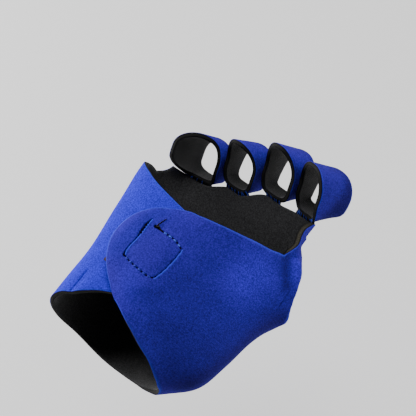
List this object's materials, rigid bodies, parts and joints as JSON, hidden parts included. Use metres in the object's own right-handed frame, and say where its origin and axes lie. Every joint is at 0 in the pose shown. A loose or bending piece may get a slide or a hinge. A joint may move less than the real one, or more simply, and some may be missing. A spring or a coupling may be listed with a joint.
{
  "type": "fitness glove",
  "caption": "Fingerless fitness glove of blue-faced neoprene sheet with a wrap-over back, finger loops and an open thumb, in its worn form.",
  "frame": {"origin": "middle of the hollow for the hand, between the wrist edge and the thumb's root", "axes": "+X towards the thumb side, +Y towards the fingers, +Z out of the back of the hand"},
  "size_m": [0.0895, 0.1213, 0.055],
  "materials": {
    "face_fabric": "fine matt jersey on black foam",
    "loop_fabric": "fine matt jersey on black foam",
    "fastening_tape": "hook and loop pile"
  },
  "bodies": {
    "root": {"hand_wrap": "face_fabric", "finger_loop_index": "loop_fabric", "finger_loop_middle": "loop_fabric", "finger_loop_ring": "loop_fabric", "finger_loop_little": "loop_fabric", "loop_patch": "fastening_tape", "hook_patch": "fastening_tape"}
  },
  "joints": []
}
